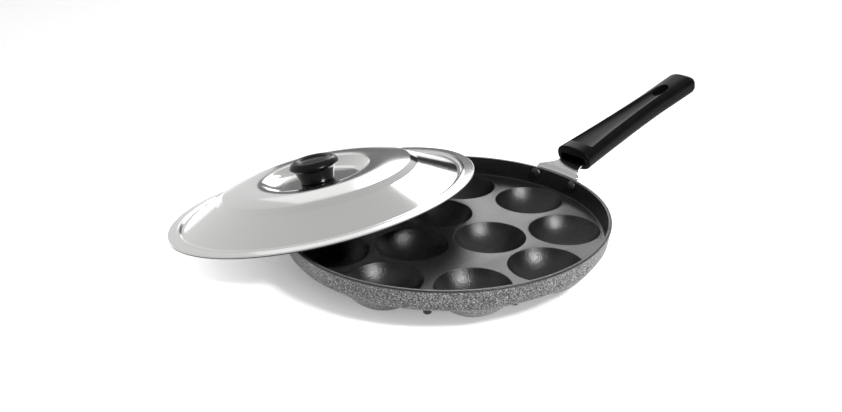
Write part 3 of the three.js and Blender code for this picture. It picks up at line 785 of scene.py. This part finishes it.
def lid_face():
    """From the sheared edge over the flange, bead, groove, cone, narrow band and shoulder into the recess."""
    step = LID_RADIUS - LID_FLANGE_WIDTH
    groove = step - LID_GROOVE_WIDTH
    band_r, band_h = LID_CREASE_RADIUS - LID_BAND_WIDTH, LID_CREASE_HEIGHT + LID_BAND_RISE
    rise, run = LID_CREST_HEIGHT - band_h, band_r - LID_CREST_RADIUS
    shoulder = [(band_r - run * s, band_h + rise * (1 - (1 - s) ** LID_SHOULDER_CURVE))
                for s in np.linspace(0, 1, 40)]
    fall = LID_CREST_RADIUS - LID_RECESS_TOP_RADIUS
    brow = [(LID_CREST_RADIUS - fall * s, LID_CREST_HEIGHT - LID_BROW_FALL * s * s)
            for s in np.linspace(0, 1, 10)[1:]]
    foot_r, foot_h = groove - LID_GROOVE_FLOOR, -LID_STEP_DEPTH
    cone_run, cone_rise = LID_CREASE_RADIUS - foot_r, LID_CREASE_HEIGHT - foot_h
    cone = [(foot_r + cone_run * s, foot_h + cone_rise * s + LID_CONE_SWELL * 4 * s * (1 - s))
            for s in np.linspace(0, 1, 24)]
    rim = round_corners([
        (LID_RADIUS, -LID_EDGE_DROP),
        (LID_RADIUS, -LID_EDGE_DROP + LID_SHEET),
        (LID_RADIUS - 0.6, 0.05),
        (step + 1.6, 0.35),
        (step + 0.4, LID_BEAD_HEIGHT),
        (step - 0.6, LID_BEAD_HEIGHT),
        (groove + 0.6, -LID_STEP_DEPTH),
        cone[0],
        cone[2],
    ], [0, 0.5, 0.8, 0.6, 0.6, 0.6, 0.8], 6)
    crease = round_corners([cone[-3], cone[-1], shoulder[0], shoulder[3]], [1.2, 1.6], 6)
    wide, deep = LID_RECESS_TOP_RADIUS - LID_RECESS_RADIUS, brow[-1][1] - LID_RECESS_HEIGHT
    hollow = [(LID_RECESS_RADIUS + wide * s, LID_RECESS_HEIGHT + deep * s * s)
              for s in np.linspace(1, 0, 16)]
    lip = round_corners([brow[-2], brow[-1], hollow[2]], [0.5], 6)
    bowl = lip + hollow[3:] + [(SCREW_RADIUS + GAP, LID_RECESS_HEIGHT)]
    return rim[:-1] + cone[2:-3] + crease[:-1] + shoulder[3:] + brow[:-2] + bowl


def lid():
    """The face and an underside one sheet below it, with a strip at the sheared edge in a duller, darker
    metal: partly the cut finish, partly painted shade.
    """
    face = lid_face()
    under = []
    for index, (r, z) in enumerate(face):
        before, after = face[max(index - 1, 0)], face[min(index + 1, len(face) - 1)]
        along = Vector((after[0] - before[0], after[1] - before[1])).normalized()
        under.append((r - along.y * LID_SHEET, z + along.x * LID_SHEET))
    skin = Skin()
    skin.turn(face[1:] + under[:0:-1], LID_STEPS)
    # The edge strip takes the second material, whose dark grey is partly painted shade.
    skin.turn([under[1], under[0], face[0], face[1]], LID_STEPS, 1)
    obj = skin.build("spun_lid", [stainless, shaded_cut_edge], LID_PLACE, sharp=40)
    dress(obj, "lid", "stainless", "lid")


def knob():
    """A flared neck under a broad rounded top with a shallow dish in it."""
    top, neck, height = KNOB_TOP_RADIUS, KNOB_NECK_RADIUS, KNOB_HEIGHT
    skin = Skin()
    base = LID_RECESS_HEIGHT + GAP
    profile = smooth_through([
        (KNOB_BASE_RADIUS, 0.3),
        (neck + 0.4, height * 0.16),
        (neck + 1.1, height * 0.32),
        (neck + 1.9, height * 0.46),
        (neck + 2.9, height * 0.58),
        (top - 1.3, height * 0.66),
        (top, height * 0.74),
        (top - 0.4, height * 0.82),
        (top - 1.8, height * 0.92),
        (top * 0.78, height),
        (top * 0.62, height * 0.96),
        (top * 0.52, height * 0.89),
        (top * 0.3, height * 0.865),
        (0, height * 0.86),
    ], 8)
    bore = SCREW_RADIUS + GAP
    shape = [(bore, KNOB_BORE_DEPTH), (bore, 0), (KNOB_BASE_RADIUS - 0.4, 0)] + profile
    skin.turn([(0, base + KNOB_BORE_DEPTH)] + [(r, z + base) for r, z in shape], KNOB_STEPS)
    obj = skin.build("phenolic_knob", [knob_phenolic], LID_PLACE, sharp=50)
    dress(obj, "lid", "knob_phenolic", "knob")


lid()
knob()

# Small fasteners keep their solids and take a plated or brass finish.
for node, material in (("handle_screw", zinc_plate), ("knob_screw", zinc_plate),
                       ("knob_washer", zinc_plate), ("handle_insert", brass), ("knob_insert", brass)):
    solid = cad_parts[node]
    solid.data.materials.clear()
    solid.data.materials.append(material)


# The photograph's camera, fitted to the rim, the cavities and the lid. Angles are in degrees.
PHOTO_SIZE = (842, 412)
FOCAL_PIXELS = 971.53
SENSOR_WIDTH = 36
CAMERA_DISTANCE = 686.2
CAMERA_ELEVATION = 24.117
CAMERA_ROLL = -0.2464
RIM_CENTRE_PIXEL = (446.49, 213.15)
HANDLE_FROM_CAMERA = 41.4

TO_ROW = Matrix.Rotation(math.radians(-HANDLE_FROM_CAMERA), 3, "Z")


def from_photo(right, away, up):
    """A place in the photograph's own axes, about the rim's middle, as metres in the row frame."""
    return (TO_ROW @ Vector((right, away, up)) + PAN_AXIS + Vector((0, 0, RIM_HEIGHT))) * MM


def photo_camera():
    """A camera that has the rim's middle at its pixel in the photograph."""
    rise = math.radians(CAMERA_ELEVATION)
    back = Vector((0, -math.cos(rise), math.sin(rise)))
    right = Vector((1, 0, 0))
    level = Matrix((right, right.cross(-back), -back))
    ray_x = (RIM_CENTRE_PIXEL[0] - PHOTO_SIZE[0] / 2) / FOCAL_PIXELS
    ray_y = -(RIM_CENTRE_PIXEL[1] - PHOTO_SIZE[1] / 2) / FOCAL_PIXELS
    yaw, pitch = math.atan(ray_x), math.atan2(ray_y, math.hypot(ray_x, 1))
    swing = Matrix.Rotation(yaw, 3, "Y")
    nod = Matrix.Rotation(-pitch, 3, "X")
    roll = Matrix.Rotation(-math.radians(CAMERA_ROLL), 3, "Z")
    to_camera = roll @ swing @ nod @ level
    axes = Matrix((to_camera[0], to_camera[1], -to_camera[2])).transposed()
    data = bpy.data.cameras.new("photo_camera")
    data.sensor_width = SENSOR_WIDTH
    data.lens = FOCAL_PIXELS * SENSOR_WIDTH / PHOTO_SIZE[0]
    data.clip_start = 0.01
    camera = bpy.data.objects.new("photo_camera", data)
    place = (TO_ROW @ axes).to_4x4()
    place.translation = from_photo(*(back * CAMERA_DISTANCE))
    camera.matrix_world = place
    bpy.context.scene.collection.objects.link(camera)
    bpy.context.scene.camera = camera


# Studio: a pale floor in a pale room, one soft lamp, and panels and boards for the metal to mirror.
# Places are in millimetres in the photograph's axes: right, away and up from the rim's middle.
FLOOR_REACH = 4000
# The floor's painted glow is centred a little left of and behind the pan, which moves where its painted fill
# lightens the shadow.
GLOW_CENTRE = (-16, 46, -RIM_HEIGHT)
GLOW_REACH_METRES = 0.5
PANEL_AWAY = 1250
STRIP_AWAY = 1270
BOARD_AWAY = 1300
FRONT_AWAY = -1700
SIDE_RIGHT = 1500
BOARD_FOOT = -32
PANEL_GLOW = 5.0
PANEL_FAINT_GLOW = 0.85


def softbox(name, place, aim, width, height, watts):
    """An area lamp at a place, facing another."""
    data = bpy.data.lights.new(name, "AREA")
    data.shape = "RECTANGLE"
    data.size, data.size_y = width * MM, height * MM
    data.energy = watts
    lamp = bpy.data.objects.new(name, data)
    lamp.location = from_photo(*place)
    lamp.rotation_euler = (from_photo(*aim) - lamp.location).to_track_quat("-Z", "Y").to_euler()
    bpy.context.scene.collection.objects.link(lamp)


def card(name, material, corners, in_picture=False):
    """A flat card between four corners. The camera sees it only if it is in the picture."""
    low_left, low_right, high_right, high_left = (from_photo(*corner) / MM for corner in corners)
    rows = []
    for v in np.linspace(0, 1, 5):
        rows.append([low_left.lerp(low_right, float(u)).lerp(high_left.lerp(high_right, float(u)), float(v))
                     for u in np.linspace(0, 1, 5)])
    skin = Skin()
    skin.grid(rows, 0, closed=False)
    board = skin.build(name, [material])
    board.visible_camera = in_picture


def painted_board(name, code):
    """Matt painted board: no gloss, only its own tone in what the bright surfaces mirror."""
    material, _, shader = start_material(name)
    shader.inputs["Base Color"].default_value = colour(code)
    shader.inputs["Roughness"].default_value = 0.9
    shader.inputs["Specular IOR Level"].default_value = 0.0
    return material


def white_panel():
    """Back-lit diffuser, evenly bright."""
    material, _, shader = start_material("even_diffuser")
    shader.inputs["Emission Color"].default_value = colour("#ffffff")
    shader.inputs["Emission Strength"].default_value = PANEL_GLOW
    return material


def fading_panel():
    """Back-lit diffuser: white, fading out towards its left edge."""
    material, tree, shader = start_material("fading_diffuser")
    spot = put(tree, "ShaderNodeTexCoord").outputs["Generated"]
    across = put(tree, "ShaderNodeSeparateXYZ", {"Vector": spot})
    level = put(tree, "ShaderNodeMapRange",
                {"Value": across.outputs["X"], "From Min": 0.38, "From Max": 0.85,
                 "To Min": PANEL_FAINT_GLOW, "To Max": PANEL_GLOW}, interpolation_type="SMOOTHSTEP")
    shader.inputs["Base Color"].default_value = colour("#808080")
    shader.inputs["Emission Color"].default_value = colour("#ffffff")
    tree.links.new(level.outputs["Result"], shader.inputs["Emission Strength"])
    return material


def white_sweep():
    """Matt white paper that looks white all round and keeps the pan's shadow.

    Its glow is painted light: strongest in a ring round the pan, it fills the shadow out there and leaves it
    dark close by.
    """
    material = painted_board("white_sweep", "#dedede")
    tree = material.node_tree
    shader = tree.nodes["Principled BSDF"]
    place = put(tree, "ShaderNodeTexCoord").outputs["Object"]
    away = put(tree, "ShaderNodeVectorMath", {0: place, 1: from_photo(*GLOW_CENTRE)}, operation="DISTANCE")
    share = put(tree, "ShaderNodeMapRange", {"Value": away.outputs["Value"], "From Max": GLOW_REACH_METRES})
    # Painted light: the glow rises from dim near the pan to brightest in a ring, then falls off further out.
    ring = put(tree, "ShaderNodeValToRGB", {"Fac": share.outputs["Result"]},
               stops=[(0.225, "#8b8b8b"), (0.315, "#c4c4c4"), (0.36, "#e4e4e4"), (0.5, "#d4d4d4"),
                      (1.0, "#a8a8a8")])
    ray = put(tree, "ShaderNodeLightPath").outputs
    seen = put(tree, "ShaderNodeMath", {0: ray["Is Camera Ray"], 1: ray["Is Glossy Ray"]},
               operation="MAXIMUM")
    seen = put(tree, "ShaderNodeMath", {0: seen.outputs["Value"], 1: ray["Is Transmission Ray"]},
               operation="MAXIMUM")
    glow = put(tree, "ShaderNodeMath", {0: seen.outputs["Value"], 1: ring.outputs["Color"]},
               operation="MULTIPLY")
    tree.links.new(glow.outputs["Value"], shader.inputs["Emission Strength"])
    shader.inputs["Emission Color"].default_value = colour("#ffffff")
    return material


def pale_room():
    """The world: pale all round, a little darker overhead."""
    world = bpy.data.worlds.new("white_room")
    bpy.context.scene.world = world
    world.use_nodes = True
    tree = world.node_tree
    tree.nodes.clear()
    spot = put(tree, "ShaderNodeTexCoord").outputs["Generated"]
    way = put(tree, "ShaderNodeSeparateXYZ", {"Vector": spot})
    tone = put(tree, "ShaderNodeValToRGB", {"Fac": way.outputs["Z"]},
               stops=[(0.05, "#e2e2e2"), (0.95, "#c2c2c2")])
    sky = put(tree, "ShaderNodeBackground", {"Color": tone.outputs["Color"], "Strength": 1.0})
    put(tree, "ShaderNodeOutputWorld", {"Surface": sky.outputs["Background"]})


bpy.context.scene.view_settings.view_transform = "Standard"
pale_room()
card("floor", white_sweep(),
     [(-FLOOR_REACH, -FLOOR_REACH, -RIM_HEIGHT), (FLOOR_REACH, -FLOOR_REACH, -RIM_HEIGHT),
      (FLOOR_REACH, FLOOR_REACH, -RIM_HEIGHT), (-FLOOR_REACH, FLOOR_REACH, -RIM_HEIGHT)], in_picture=True)
photo_camera()
softbox("key", place=(500, -550, 720), aim=(0, 0, 0), width=200, height=200, watts=12.5)
card("back_panel", fading_panel(),
     [(-620, PANEL_AWAY, 330), (95, PANEL_AWAY, 295), (95, PANEL_AWAY, 860), (-620, PANEL_AWAY, 820)])
card("tall_panel", white_panel(),
     [(95, PANEL_AWAY, 295), (250, PANEL_AWAY, 290), (250, PANEL_AWAY, 1200), (95, PANEL_AWAY, 1150)])
card("low_back_card", painted_board("grey_board", "#8a8a8a"),
     [(-460, BOARD_AWAY, BOARD_FOOT), (180, BOARD_AWAY, BOARD_FOOT),
      (180, BOARD_AWAY, 260), (-460, BOARD_AWAY, 260)])
dark_board = painted_board("dark_board", "#101010")
card("front_card", dark_board,
     [(-2600, FRONT_AWAY, 220), (SIDE_RIGHT, FRONT_AWAY, 220),
      (SIDE_RIGHT, FRONT_AWAY, 1700), (-2600, FRONT_AWAY, 1700)])
card("dark_strip", dark_board,
     [(60, STRIP_AWAY, BOARD_FOOT), (260, STRIP_AWAY, BOARD_FOOT),
      (260, STRIP_AWAY, 250), (60, STRIP_AWAY, 250)])
card("right_card", dark_board,
     [(SIDE_RIGHT, -1600, 100), (SIDE_RIGHT, 700, 100),
      (SIDE_RIGHT, 700, 1300), (SIDE_RIGHT, -1600, 1300)])
